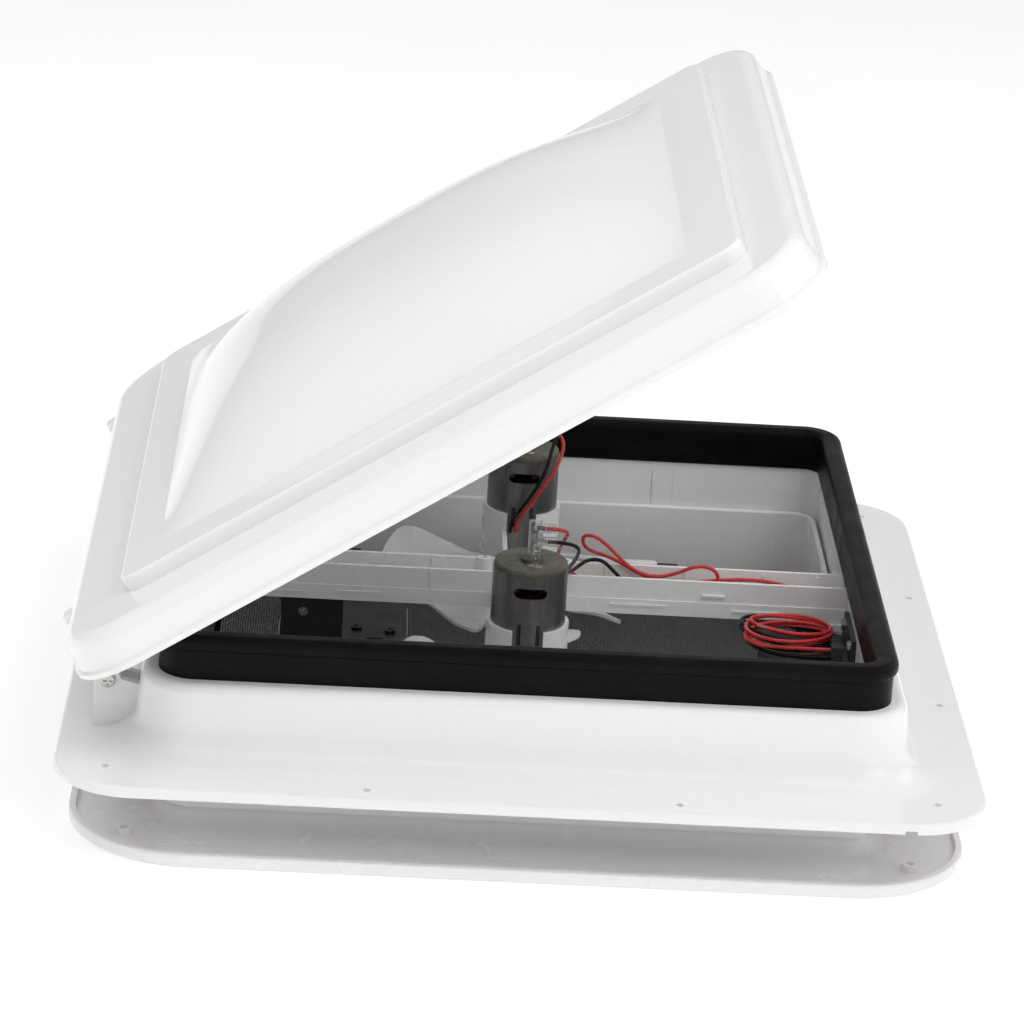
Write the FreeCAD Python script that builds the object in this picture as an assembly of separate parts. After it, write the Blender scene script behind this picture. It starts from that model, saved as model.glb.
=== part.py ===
import FreeCAD, Part
import os
import math
from FreeCAD import Vector as V

# 14 inch roof vent for a caravan or motorhome: roof flange, hinged domed lid,
# two fan motors on a cross beam, insect screen, lid operator and ceiling trim.
# Millimetres.  Origin: middle of the vent opening on the roof skin (z = 0).
# +X from the hinge side to the opening side, +Y across, +Z up to the sky.

# ---------------------------------------------------------------- dimensions
FLANGE_HALF = 228.0      # roof flange, half of 456
FLANGE_R = 39.0
PLATE_T = 2.5
PLATE_TOP = 5.0
NECK_HALF = 190.0
NECK_C = 162.0           # corner centre of the neck
DUCT_HALF = 172.5        # inside of the duct
COLLAR_OUT = 176.0
COLLAR_BOTTOM = -26.5
SHOULDER_Z = 43.0
UPSTAND_TOP = 57.0
SWEEP_R = 18.0

ROOF_CORNER = 202.1      # roof screws, corner pattern
ROOF_NEAR = 75.6
ROOF_FAR = 216.7
ROOF_HOLE_R = 1.9

GASKET_OUT = 182.0
GASKET_IN = 170.5
GASKET_TOP = 66.0

TRIM_HALF = 222.0        # ceiling trim
TRIM_R = 60.0
TRIM_BOTTOM = -38.0
TRIM_T = 3.0
TRIM_SCREW = 192.9
TRIM_COLLAR_OUT = 171.5
TRIM_COLLAR_IN = 168.5
TRIM_COLLAR_TOP = 17.5

HINGE_X = -205.0
HINGE_Z = 29.9
OPEN_DEG = 33.06         # lid angle as stored
LID_CX = 202.45          # lid centre from the hinge axis
LID_HX = 207.25
LID_HY = 210.0
LID_R = 38.0
LID_T = 2.5
LID_RIM = 17.5
LID_BORDER = 39.0
STEP_CX = 207.5
STEP_HX = 171.0
STEP_HY = 174.0
STEP_R = 10.0
STEP_TOP = 47.0
DOME_CX = 205.0
DOME_A = 147.0
DOME_B = 147.0
DOME_H = 36.0

BEAM_HALF_W = 11.0
BEAM_Z0 = 22.0
BEAM_Z1 = 41.5
BEAM_T = 2.2
BEAM_END = 172.3

MOTOR_X = 2.0
MOTOR_Y = 85.5
CAN_R = 19.0
CAN_Z0 = 19.5
CAN_Z1 = 75.0
CAP_TOP = 77.7
CUP_R = 21.0
CUP_TOP = 45.5
FAN_R = 77.0
FAN_Z_HIGH = 13.5
FAN_Z_LOW = -7.5
SHAFT_R = 1.585

SCREEN_Z = -22.0
PAD_Z0 = -24.0
PAD_Z1 = -20.0
HOUSE_TOP = -14.0
KNOB_Z0 = -37.0
KNOB_Z1 = -25.0

PIVOT_X = -113.0         # lift arm pivot
PIVOT_Z = 5.0
WORM_X = -99.5
WORM_Y = 26.0

# ---------------------------------------------------------------- helpers
def box(x0, x1, y0, y1, z0, z1):
    return Part.makeBox(x1 - x0, y1 - y0, z1 - z0, V(x0, y0, z0))

def cyl(r, x, y, z0, z1):
    return Part.makeCylinder(r, z1 - z0, V(x, y, z0), V(0, 0, 1))

def cyly(r, x, z, y0, y1):
    return Part.makeCylinder(r, y1 - y0, V(x, y0, z), V(0, 1, 0))

def cylx(r, y, z, x0, x1):
    return Part.makeCylinder(r, x1 - x0, V(x0, y, z), V(1, 0, 0))

def fuse(shapes):
    s = shapes[0]
    if len(shapes) > 1:
        s = s.multiFuse(shapes[1:])
    return s.removeSplitter()

def cut(a, shapes):
    return a.cut(shapes) if isinstance(shapes, list) else a.cut([shapes])

def rrect_wire(hx, hy, r, z, cx=0.0, cy=0.0):
    e = []
    k = math.sqrt(0.5)
    c = [(cx + hx - r, cy + hy - r, 0), (cx - hx + r, cy + hy - r, 90),
         (cx - hx + r, cy - hy + r, 180), (cx + hx - r, cy - hy + r, 270)]
    pts = []
    for x, y, a in c:
        a0 = math.radians(a)
        pts.append([V(x + r * math.cos(a0 + t), y + r * math.sin(a0 + t), z)
                    for t in (0, math.pi / 4, math.pi / 2)])
    for i in range(4):
        p = pts[i]
        e.append(Part.Arc(p[0], p[1], p[2]).toShape())
        q = pts[(i + 1) % 4]
        e.append(Part.LineSegment(p[2], q[0]).toShape())
    return Part.Wire(e)

def rprism(hx, hy, r, z0, z1, cx=0.0, cy=0.0):
    return Part.Face(rrect_wire(hx, hy, r, z0, cx, cy)).extrude(V(0, 0, z1 - z0))

def prof_wire(items, place):
    # items: (r, z) for a straight line to that point, or ((rm, zm), (r, z))
    # for an arc through the first point
    edges = []
    prev = items[0]
    first = prev
    for it in items[1:] + [first]:
        if isinstance(it[0], tuple):
            m, p = it
            edges.append(Part.Arc(place(*prev), place(*m), place(*p)).toShape())
        else:
            p = it
            if abs(p[0] - prev[0]) + abs(p[1] - prev[1]) < 1e-9:
                continue
            edges.append(Part.LineSegment(place(*prev), place(*p)).toShape())
        prev = p
    return Part.Wire(edges)

def rring(items, hx, hy, r, cx=0.0, cy=0.0):
    # closed ring with the section `items` (distance outwards from the
    # reference outline, height) round a rounded rectangle
    ax, ay = hx - r, hy - r
    fx = Part.Face(prof_wire(items, lambda d, z: V(hx + d, -ay, z)))
    sx = fx.extrude(V(0, 2 * ay, 0))
    fy = Part.Face(prof_wire(items, lambda d, z: V(-ax, hy + d, z)))
    sy = fy.extrude(V(2 * ax, 0, 0))
    fc = Part.Face(prof_wire(items, lambda d, z: V(hx + d, ay, z)))
    co = fc.revolve(V(ax, ay, 0), V(0, 0, 1), 90)
    mx = lambda s: s.mirror(V(0, 0, 0), V(1, 0, 0))
    my = lambda s: s.mirror(V(0, 0, 0), V(0, 1, 0))
    parts = [sx, sy, mx(sx), my(sy), co, mx(co), my(co), mx(my(co))]
    s = fuse(parts)
    if cx or cy:
        s.translate(V(cx, cy, 0))
    return s

def sq(items, half, r):
    # ring section given in distances from the middle
    conv = []
    for it in items:
        if isinstance(it[0], tuple):
            conv.append(((it[0][0] - half, it[0][1]), (it[1][0] - half, it[1][1])))
        else:
            conv.append((it[0] - half, it[1]))
    return rring(conv, half, half, r)

def poly_xz(pts, y0, y1):
    w = Part.makePolygon([V(x, y0, z) for x, z in pts] + [V(pts[0][0], y0, pts[0][1])])
    return Part.Face(w).extrude(V(0, y1 - y0, 0))

def poly_xy(pts, z0, z1):
    w = Part.makePolygon([V(x, y, z0) for x, y in pts] + [V(pts[0][0], pts[0][1], z0)])
    return Part.Face(w).extrude(V(0, 0, z1 - z0))

def surface(grid):
    s = Part.BSplineSurface()
    s.interpolate(grid)
    return s

def skin(grid_top, grid_bottom):
    # closed solid between two point grids of the same size
    ft = surface(grid_top).toShape()
    fb = surface(grid_bottom).toShape()
    def edges(s):
        bs = s.Surface if hasattr(s, "Surface") else s.Faces[0].Surface
        u0, u1, v0, v1 = bs.bounds()
        return [bs.uIso(u0).toShape(), bs.uIso(u1).toShape(),
                bs.vIso(v0).toShape(), bs.vIso(v1).toShape()]
    et, eb = edges(ft), edges(fb)
    faces = [ft.Faces[0], fb.Faces[0]]
    for a, b in zip(et, eb):
        faces.append(Part.makeRuledSurface(a, b))
    sh = Part.makeShell(faces)
    sh.sewShape()
    so = Part.makeSolid(Part.makeShell(sh.Faces)) if not sh.isClosed() else Part.makeSolid(sh)
    if so.Volume < 0:
        so.reverse()
    return so

def about_hinge(s, deg):
    s = s.copy()
    s.rotate(V(HINGE_X, 0, HINGE_Z), V(0, -1, 0), deg)
    return s

def screw_z(x, y, z_head, length, r=1.75, rh=3.4, hh=2.2, down=True):
    # pan head screw, head on top, shank down from z_head
    s = fuse([cyl(rh, x, y, z_head, z_head + hh), cyl(r, x, y, z_head - length, z_head)])
    slot = [box(x - rh * 0.6, x + rh * 0.6, y - 0.45, y + 0.45, z_head + hh - 1.0, z_head + hh + 1),
            box(x - 0.45, x + 0.45, y - rh * 0.6, y + rh * 0.6, z_head + hh - 1.0, z_head + hh + 1)]
    return s.cut(slot)

OUT = {}
def put(name, shape):
    if isinstance(shape, (list, tuple)):
        sols = []
        for s in shape:
            sols += s.Solids
        shape = Part.makeCompound(sols) if len(sols) > 1 else sols[0]
    elif len(shape.Solids) == 1:
        shape = shape.Solids[0]
    OUT[name] = shape

# ---------------------------------------------------------------- roof flange
def make_flange():
    k = math.sqrt(0.5)
    ro, ri = SWEEP_R, SWEEP_R + PLATE_T
    xc, zc = NECK_HALF + SWEEP_R, PLATE_TOP + SWEEP_R
    sh = 5.0
    items = [
        (xc, PLATE_TOP - PLATE_T),
        (xc, PLATE_TOP),
        ((xc - ro * k, zc - ro * k), (xc - ro, zc)),
        (188.5, SHOULDER_Z - sh),
        ((188.5 - sh + sh * k, SHOULDER_Z - sh + sh * k), (188.5 - sh, SHOULDER_Z)),
        (178.0, SHOULDER_Z), (178.0, UPSTAND_TOP), (175.0, UPSTAND_TOP), (175.0, SHOULDER_Z),
        (DUCT_HALF, SHOULDER_Z), (DUCT_HALF, COLLAR_BOTTOM), (COLLAR_OUT, COLLAR_BOTTOM),
        (COLLAR_OUT, SHOULDER_Z - 2.5), (183.5, SHOULDER_Z - 2.5),
        ((183.5 + 2.5 * k, SHOULDER_Z - sh + 2.5 * k), (186.0, SHOULDER_Z - sh)),
        (xc - ri, zc),
        ((xc - ri * k, zc - ri * k), (xc, PLATE_TOP - PLATE_T)),
    ]
    items = items[:-1] + [items[-1]]
    # last arc ends on the first point, so drop the repeated start
    neck = sq_closed(items, NECK_HALF, NECK_HALF - NECK_C)
    plate = rprism(223, 223, 34, PLATE_TOP - PLATE_T, PLATE_TOP).cut(
        rprism(207, 207, 207 - NECK_C, 0, 10))
    lip = sq([(222, 2.5), (225.5, 2.5), (225.5, 0), (228, 0), (228, 2.5),
              ((225.5 + 2.5 * k, 2.5 + 2.5 * k), (225.5, 5.0)), (222, 5.0)], FLANGE_HALF, FLANGE_R)
    add = [neck, plate, lip]
    holes = []
    c, n, f = ROOF_CORNER, ROOF_NEAR, ROOF_FAR
    pos = [(sx * a, sy * b) for a, b in ((c, c), (n, f), (f, n)) for sx in (-1, 1) for sy in (-1, 1)]
    for x, y in pos:
        add.append(cyl(4.5, x, y, 0, 3))
        holes.append(cyl(ROOF_HOLE_R, x, y, -1, 6))
    # stiffening webs under the neck
    for s in (-1, 1):
        for t in (-110, -40, 40, 110):
            add.append(box(t - 1, t + 1, min(s * 175.5, s * 186.5), max(s * 175.5, s * 186.5), 20, 41))
            add.append(box(min(s * 175.5, s * 186.5), max(s * 175.5, s * 186.5), t - 1, t + 1, 20, 41))
    # hinge ears on the left wall
    ear = [(-187.2, 4), (-212, 4), (-212, 28.5), (-209.5, 34.5), (-200.5, 34.5),
           (-198.5, 30.0), (-187.6, 27.5)]
    for s in (-1, 1):
        a, b = sorted((s * 153.6, s * 148.6))
        add.append(poly_xz(ear, a, b))
        a, b = sorted((s * 139.4, s * 135.4))
        add.append(poly_xz(ear, a, b))
    # two moulded lines on the back wall
    add.append(box(78.4, 79.5, 171.9, 173.5, 19.0, 37.5))
    add.append(box(90.2, 91.0, 172.1, 173.5, 19.0, 37.5))
    # seats for the beam ends
    for s in (-1, 1):
        a, b = sorted((s * 159.0, s * 173.5))
        add.append(box(a, b, -14, 14, 18.4, BEAM_Z0))
    s = fuse(add)
    for t in (-1, 1):
        holes.append(cyly(2.05, HINGE_X, HINGE_Z, min(t * 155, t * 148), max(t * 155, t * 148)))
        holes.append(cyly(1.75, HINGE_X, HINGE_Z, min(t * 140, t * 135), max(t * 140, t * 135)))
        holes.append(cyl(1.45, t * 165.5, 0, 17, 24))
        holes.append(cylx(1.45, -60, 29, 171, 175.5))
        holes.append(cylx(1.45, -30, 29, 171, 175.5))
    # drain notch in the front lip
    holes.append(box(184, 190, -229, -225, -1, 1.8))
    return s.cut(holes)

def sq_closed(items, half, r):
    # as sq(), for a section whose last item is an arc back to the start
    conv = []
    for it in items:
        if isinstance(it[0], tuple):
            conv.append(((it[0][0] - half, it[0][1]), (it[1][0] - half, it[1][1])))
        else:
            conv.append((it[0] - half, it[1]))
    return rring(conv, half, half, r)

put("roof_flange", make_flange())

# ---------------------------------------------------------------- gasket
k = math.sqrt(0.5)
gasket = sq([
    (178.0, 43.0), (180.0, 43.0), (180.0, 57.5),
    ((181.4, 58.6), (182.0, 60.2)), (182.0, 62.0),
    ((180.83, 64.83), (178.0, 66.0)), (174.5, 66.0),
    ((171.67, 64.83), (170.5, 62.0)), (170.5, 44.0), (171.3, 43.0),
    (175.0, 43.0), (175.0, 57.0), (178.0, 57.0)], GASKET_OUT, GASKET_OUT - NECK_C)
put("neck_gasket", gasket)

# ---------------------------------------------------------------- lid
def dome_h(x, y):
    return DOME_H * (1 - abs(x / DOME_A) ** 3) * (1 - abs(y / DOME_B) ** 3)

def dome_grid(z_of, n=20):
    g = []
    for i in range(n + 1):
        x = -DOME_A + 2 * DOME_A * i / n
        row = []
        for j in range(n + 1):
            y = -DOME_B + 2 * DOME_B * j / n
            row.append(V(x, y, z_of(x, y)))
        g.append(row)
    return g

def make_lid():
    # lid frame: hinge axis at the origin, u along +X, closed
    k = math.sqrt(0.5)
    r = 8.0
    items = [
        (-4.6, LID_RIM), (0.0, LID_RIM), (0.0, LID_RIM + 2.4), (-2.0, LID_RIM + 3.4),
        (-3.4, LID_BORDER - r),
        ((-3.4 - r + r * k, LID_BORDER - r + r * k), (-3.4 - r, LID_BORDER)),
        (-3.4 - r, LID_BORDER - LID_T),
        ((-3.4 - r + 5.5 * k, LID_BORDER - r + 5.5 * k), (-3.4 - r + 5.5, LID_BORDER - r)),
    ]
    skirt = rring(items, LID_HX, LID_HY, LID_R)
    skirt.translate(V(LID_CX, 0, 0))
    d = 10.9
    border = rprism(LID_HX - d, LID_HY - d, LID_R - d, LID_BORDER - LID_T, LID_BORDER, LID_CX)
    step = rprism(STEP_HX, STEP_HY, STEP_R, LID_BORDER - LID_T, STEP_TOP, STEP_CX)
    top_edges = [e for e in step.Edges if abs(e.BoundBox.ZMin - STEP_TOP) < 1e-6 and abs(e.BoundBox.ZMax - STEP_TOP) < 1e-6]
    step = step.makeFillet(2.0, top_edges)
    t = LID_T
    hollow = rprism(STEP_HX - t, STEP_HY - t, STEP_R - t, LID_BORDER - LID_T - 1, STEP_TOP - t, STEP_CX)
    win = box(DOME_CX - DOME_A, DOME_CX + DOME_A, -DOME_B, DOME_B, STEP_TOP - t - 1, STEP_TOP + 1)
    body = fuse([skirt, border, step]).cut([hollow, win])
    dome = skin(dome_grid(lambda x, y: STEP_TOP + dome_h(x, y)),
                dome_grid(lambda x, y: STEP_TOP - t + dome_h(x, y)))
    dome.translate(V(DOME_CX, 0, 0))
    # space below the dome skin, used to trim the rail bosses
    under = skin(dome_grid(lambda x, y: STEP_TOP - 1.2 + dome_h(x, y)),
                 dome_grid(lambda x, y: 20.0))
    under.translate(V(DOME_CX, 0, 0))
    add = [body, dome]
    for u in RAIL_BOSS_U:
        add.append(cyl(5.0, u, RAIL_BOSS_Y, 38.0, 90).common(under))
    # hinge lugs
    for s in (-1, 1):
        a, b = sorted((s * 148.3, s * 139.7))
        lug = poly_xz([(-5.8, 1.0), (5.8, 1.0), (9.0, 37.0), (-3.6, 37.0), (-3.6, 19.0)], a, b)
        add.append(lug)
        add.append(cyly(6.0, 0, 0, a, b))
    s = fuse(add)
    holes = []
    for sg in (-1, 1):
        a, b = sorted((sg * 150, sg * 138))
        holes.append(cyly(2.05, 0, 0, a, b))
    for u in RAIL_BOSS_U:
        holes.append(cyl(1.3, u, RAIL_BOSS_Y, 37.0, 50.0))
    s = s.cut(holes)
    return s

RAIL_BOSS_U = (84.0, 172.0)
RAIL_BOSS_Y = 22.0

def lid_place(s):
    s = s.copy()
    s.translate(V(HINGE_X, 0, HINGE_Z))
    return about_hinge(s, OPEN_DEG)

put("lid_dome", lid_place(make_lid()))

# hinge screws: pan head outside the ears, thread end in the inner ears
hs = []
for s in (-1, 1):
    a, b = sorted((s * 153.6, s * 135.4))
    sh = cyly(2.0, HINGE_X, HINGE_Z, min(s * 153.6, s * 139.6), max(s * 153.6, s * 139.6))
    tip = cyly(1.75, HINGE_X, HINGE_Z, min(s * 139.6, s * 134.0), max(s * 139.6, s * 134.0))
    hd = cyly(3.8, HINGE_X, HINGE_Z, min(s * 153.6, s * 156.0), max(s * 153.6, s * 156.0))
    e = [x for x in hd.Edges if abs(x.BoundBox.YMin - s * 156.0) < 1e-3 and abs(x.BoundBox.YMax - s * 156.0) < 1e-3]
    hd = hd.makeFillet(1.1, e)
    y0, y1 = sorted((s * 155.0, s * 157.0))
    cr = [box(HINGE_X - 2.4, HINGE_X + 2.4, y0, y1, HINGE_Z - 0.5, HINGE_Z + 0.5),
          box(HINGE_X - 0.5, HINGE_X + 0.5, y0, y1, HINGE_Z - 2.4, HINGE_Z + 2.4)]
    hs.append(fuse([sh, tip, hd]).cut(cr))
put("hinge_screws", hs)

# ---------------------------------------------------------------- lift rail
ARM_A = math.hypot(PIVOT_X - HINGE_X, PIVOT_Z - HINGE_Z)
ARM_G = math.degrees(math.atan2(HINGE_Z - PIVOT_Z, PIVOT_X - HINGE_X))
ARM_DEG = 2 * OPEN_DEG + ARM_G
ROLL_S = 2 * ARM_A * math.cos(math.radians(OPEN_DEG + ARM_G))

def make_rail():
    web = poly_xz([(62, -6.5), (193, -6.5), (193, 8), (185, 38), (70, 38), (62, 8)], 13.0, 15.5)
    fl = box(72, 184, 13.0, 29.0, 35.5, 38.0)
    s = fuse([web, fl])
    slot = fuse([cyly(4.1, 74.0, 0, 12, 17), cyly(4.1, 184.6, 0, 12, 17),
                 box(74.0, 184.6, 12, 17, -4.1, 4.1)])
    win = fuse([cyly(6, 88, 22, 12, 17), cyly(6, 168, 22, 12, 17), box(88, 168, 12, 17, 16, 28)])
    holes = [cyl(1.85, u, RAIL_BOSS_Y, 34, 40) for u in RAIL_BOSS_U]
    return s.cut([slot, win] + holes)
put("lid_rail", lid_place(make_rail()))

rs = []
for u in RAIL_BOSS_U:
    hd = fuse([cyl(3.4, u, RAIL_BOSS_Y, 33.3, 35.5), cyl(1.75, u, RAIL_BOSS_Y, 35.5, 38.0),
               cyl(1.3, u, RAIL_BOSS_Y, 38.0, 47.0)])
    hd = hd.cut([box(u - 2, u + 2, RAIL_BOSS_Y - 0.4, RAIL_BOSS_Y + 0.4, 33, 34.3)])
    rs.append(lid_place(hd))
put("lid_rail_screws", rs)

# ---------------------------------------------------------------- ceiling trim
def make_trim():
    k = math.sqrt(0.5)
    r = 12.0
    zt = TRIM_BOTTOM + TRIM_T
    plate = rprism(TRIM_HALF - 4, TRIM_HALF - 4, TRIM_R - 4, TRIM_BOTTOM, zt).cut(
        rprism(182.0, 182.0, 182 - 158.5, TRIM_BOTTOM - 1, 0))
    h, b = TRIM_HALF, TRIM_BOTTOM
    lip = sq([(h - 6.0, b), (h - 2.0, b), ((h - 2 + 2 * k, b + 2 - 2 * k), (h, b + 2)),
              (h, b + 5.4), ((h - 0.3, b + 6.1), (h - 1.0, b + 6.4)), (h - 3.4, b + 6.4),
              (h - 3.8, zt), (h - 6.0, zt)], TRIM_HALF, TRIM_R)
    xo = TRIM_COLLAR_OUT
    xc, zc = xo + r, zt + r
    r2 = r + TRIM_T
    coll = sq_closed([
        (xc, TRIM_BOTTOM), (xc, zt),
        ((xc - r * k, zc - r * k), (xo, zc)),
        (xo, TRIM_COLLAR_TOP - 1.5), ((xo - 1.5 + 1.5 * k, TRIM_COLLAR_TOP - 1.5 + 1.5 * k), (xo - 1.5, TRIM_COLLAR_TOP)),
        ((xo - 1.5 - 1.5 * k, TRIM_COLLAR_TOP - 1.5 + 1.5 * k), (TRIM_COLLAR_IN, TRIM_COLLAR_TOP - 1.5)),
        (TRIM_COLLAR_IN, zc),
        ((xc - r2 * k, zc - r2 * k), (xc, TRIM_BOTTOM)),
    ], xo, xo - 158.5)
    ledge = sq([(160.0, PAD_Z0 - 3), (169.5, PAD_Z0 - 3), (169.5, PAD_Z0), (160.0, PAD_Z0)], 169.5, 169.5 - 158.5 + 1)
    add = [plate, lip, coll, ledge]
    holes = []
    for sx in (-1, 1):
        for sy in (-1, 1):
            add.append(cyl(4.0, sx * TRIM_SCREW, sy * TRIM_SCREW, TRIM_BOTTOM, TRIM_BOTTOM + 7))
            holes.append(cyl(2.1, sx * TRIM_SCREW, sy * TRIM_SCREW, TRIM_BOTTOM - 1, TRIM_BOTTOM + 10))
    return fuse(add).cut(holes)
put("garnish_frame", make_trim())

# ---------------------------------------------------------------- fan beam
MOTORS = {"front": -MOTOR_Y, "rear": MOTOR_Y}

def make_beam():
    w, t = BEAM_HALF_W, BEAM_T
    sect = [(-w, BEAM_Z0), (w, BEAM_Z0), (w, BEAM_Z1), (w - t, BEAM_Z1), (w - t, BEAM_Z0 + t),
            (-w + t, BEAM_Z0 + t), (-w + t, BEAM_Z1), (-w, BEAM_Z1)]
    wire = Part.makePolygon([V(-BEAM_END, y, z) for y, z in sect] + [V(-BEAM_END, sect[0][0], sect[0][1])])
    s = Part.Face(wire).extrude(V(2 * BEAM_END, 0, 0))
    add = [s]
    # thicker foot of the near wall, with its ledge
    add.append(box(-BEAM_END, BEAM_END, -w - 0.7, -w + 1, BEAM_Z0, 30.2))
    for x0, x1, z in ((-140, -112, 25.2), (-96, -72, 26.4), (48, 78, 26.6), (112, 140, 25.6), (96, 108, 33.5)):
        add.append(box(x0, x1, -w - 1.3, -w, z, z + 1.1))
    # upright ribs inside the walls
    for x in (-150, -105, -46, 46, 88, 130, 158):
        add.append(box(x - 0.6, x + 0.6, w - t - 1.0, w - t + 0.5, BEAM_Z0 + 1, BEAM_Z1 - 1.5))
        add.append(box(x - 0.6, x + 0.6, -w + t - 0.5, -w + t + 1.0, BEAM_Z0 + 1, BEAM_Z1 - 1.5))
    add.append(box(-47.0, -45.8, -w - 0.6, -w + 0.5, 30.2, BEAM_Z1 - 0.6))
    holes = [box(-23.0, -14.0, 11.4, 14.0, BEAM_Z0 - 1, BEAM_Z1 + 2)]
    for x in (-18.6, 24.6):
        add.append(cyl(3.75, x, w - 1.6, BEAM_Z0, BEAM_Z1 + 0.6))
        holes.append(cyl(1.4, x, w - 1.6, BEAM_Z1 - 12, BEAM_Z1 + 2))
    for t2 in (-1, 1):
        holes.append(cyl(1.9, t2 * 165.5, 0, 20, 26))
    holes.append(cyl(1.0, 152.0, 2.0, 20, 26))
    holes.append(cyl(1.0, 152.0, -4.0, 20, 26))
    # motor cups with their arms
    for name, my in MOTORS.items():
        sg = 1 if my > 0 else -1
        add.append(cyl(CUP_R, MOTOR_X, my, 16.8, CUP_TOP))
        ya, yb = sorted((sg * (w - 1.0), sg * (MOTOR_Y - 17.0)))
        for dx in (-9.0, 9.0):
            add.append(box(MOTOR_X + dx - 1.2, MOTOR_X + dx + 1.2, ya, yb, BEAM_Z0, 36.0))
        add.append(box(MOTOR_X - 9, MOTOR_X + 9, ya, yb, BEAM_Z0, BEAM_Z0 + 2.2))
        holes.append(cyl(CAN_R, MOTOR_X, my, CAN_Z0, CUP_TOP + 1))
        holes.append(cyl(8.0, MOTOR_X, my, 16, 21))
        # slot down the near side of the cup
        holes.append(box(MOTOR_X - 8.0, MOTOR_X + 7.6, my - 25, my - 12, 25.0, CUP_TOP + 1))
    s = fuse(add).cut(holes)
    return s
put("fan_beam", make_beam())

put("beam_screws", [screw_z(t * 165.5, 0, BEAM_Z0 + BEAM_T, 0.1 + BEAM_T + 3.4, r=1.45, rh=3.2, hh=2.0) for t in (-1, 1)])

# ---------------------------------------------------------------- motors
def annulus(r0, r1, x, y, z0, z1):
    return cyl(r1, x, y, z0, z1).cut([cyl(r0, x, y, z0 - 1, z1 + 1)])

def make_motor(name, my):
    x = MOTOR_X
    ro, ri = CAN_R, CAN_R - 0.9
    can = cyl(ro, x, my, CAN_Z0, CAN_Z1)
    be = [e for e in can.Edges if abs(e.BoundBox.ZMax - CAN_Z0) < 1e-6 and abs(e.BoundBox.ZMin - CAN_Z0) < 1e-6]
    can = can.makeFillet(1.6, be)
    can = fuse([can, cyl(6.5, x, my, CAN_Z0 - 3.6, CAN_Z0 + 1.5)])
    cuts = [cyl(ri, x, my, CAN_Z0 + 1.6, CAN_Z1 + 1), cyl(SHAFT_R + 0.06, x, my, 10, 30)]
    # brush windows and the finger slots low on the wall
    for s in (-1, 1):
        ya, yb = sorted((my + s * 10, my + s * 22))
        wdw = fuse([box(x - 5.6, x + 5.6, ya, yb, 63.4, 68.8),
                    cyly(2.7, x - 5.6, 66.1, ya, yb), cyly(2.7, x + 5.6, 66.1, ya, yb)])
        cuts.append(wdw)
        for dx in (-4.9, 4.9):
            cuts.append(box(x + dx - 1.0, x + dx + 1.0, ya, yb, 38.0, 48.5))
            cuts.append(cyly(1.0, x + dx, 48.5, ya, yb))
    can = can.cut(cuts)
    put("motor_%s_can" % name, can)
    # end cap
    cap = fuse([cyl(ri, x, my, CAN_Z1 - 4.0, CAN_Z1), cyl(ro - 0.5, x, my, CAN_Z1, CAP_TOP),
                cyl(5.2, x, my, CAP_TOP - 0.5, CAP_TOP + 1.2)])
    te = [e for e in cap.Edges if abs(e.BoundBox.ZMax - CAP_TOP) < 1e-6 and abs(e.BoundBox.ZMin - CAP_TOP) < 1e-6 and e.BoundBox.XLength > 30]
    cap = cap.makeFillet(1.0, te)
    cc = [cyl(SHAFT_R + 0.06, x, my, CAN_Z1 - 6, CAP_TOP - 0.6)]
    tabs = []
    for s in (-1, 1):
        tx, ty = x + 1.5, my + s * 9.5
        tab = box(tx - 1.4, tx + 1.4, ty - 0.25, ty + 0.25, CAN_Z1 - 3.0, CAP_TOP + 7.5)
        tabs.append(tab)
        cc.append(tab)
    put("motor_%s_cap" % name, cap.cut(cc))
    put("motor_%s_tabs" % name, tabs)
    # magnets: two arcs against the inside of the can
    mg = annulus(14.9, ri, x, my, 30.0, 62.0)
    gap = [box(x - 4.5, x + 4.5, my - 30, my + 30, 20, 75)]
    put("motor_%s_magnets" % name, mg.cut(gap).Solids)
    # armature: stack, windings, commutator and shaft
    st = cyl(14.2, x, my, 34.0, 58.0)
    for i in range(5):
        a = math.radians(72 * i + 20)
        c = box(10.5, 15.5, -1.1, 1.1, 33, 59)
        c.rotate(V(0, 0, 0), V(0, 0, 1), math.degrees(a))
        c.translate(V(x, my, 0))
        st = st.cut([c])
    arm = fuse([st, cyl(11.5, x, my, 29.0, 63.0), cyl(5.0, x, my, 62.0, 70.0),
                cyl(SHAFT_R, x, my, -7.5, CAP_TOP - 0.8)])
    put("motor_%s_armature" % name, arm)

for n_, y_ in MOTORS.items():
    make_motor(n_, y_)

# terminal sleeves: clear flag boots on the tabs
def make_sleeve(tx, ty):
    b = box(tx - 3.4, tx + 3.4, ty - 2.1, ty + 2.1, CAP_TOP + 0.3, CAP_TOP + 17.5)
    b = b.makeFillet(1.2, [e for e in b.Edges if e.BoundBox.ZLength > 10])
    neck = cylx(2.6, ty, CAP_TOP + 13.6, tx + 1.0, tx + 10.5)
    s = fuse([b, neck])
    core = [box(tx - 1.45, tx + 1.45, ty - 0.3, ty + 0.3, CAP_TOP - 1, CAP_TOP + 7.6),
            cylx(1.0, ty, CAP_TOP + 13.6, tx + 5.5, tx + 12)]
    return s.cut(core)

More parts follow.
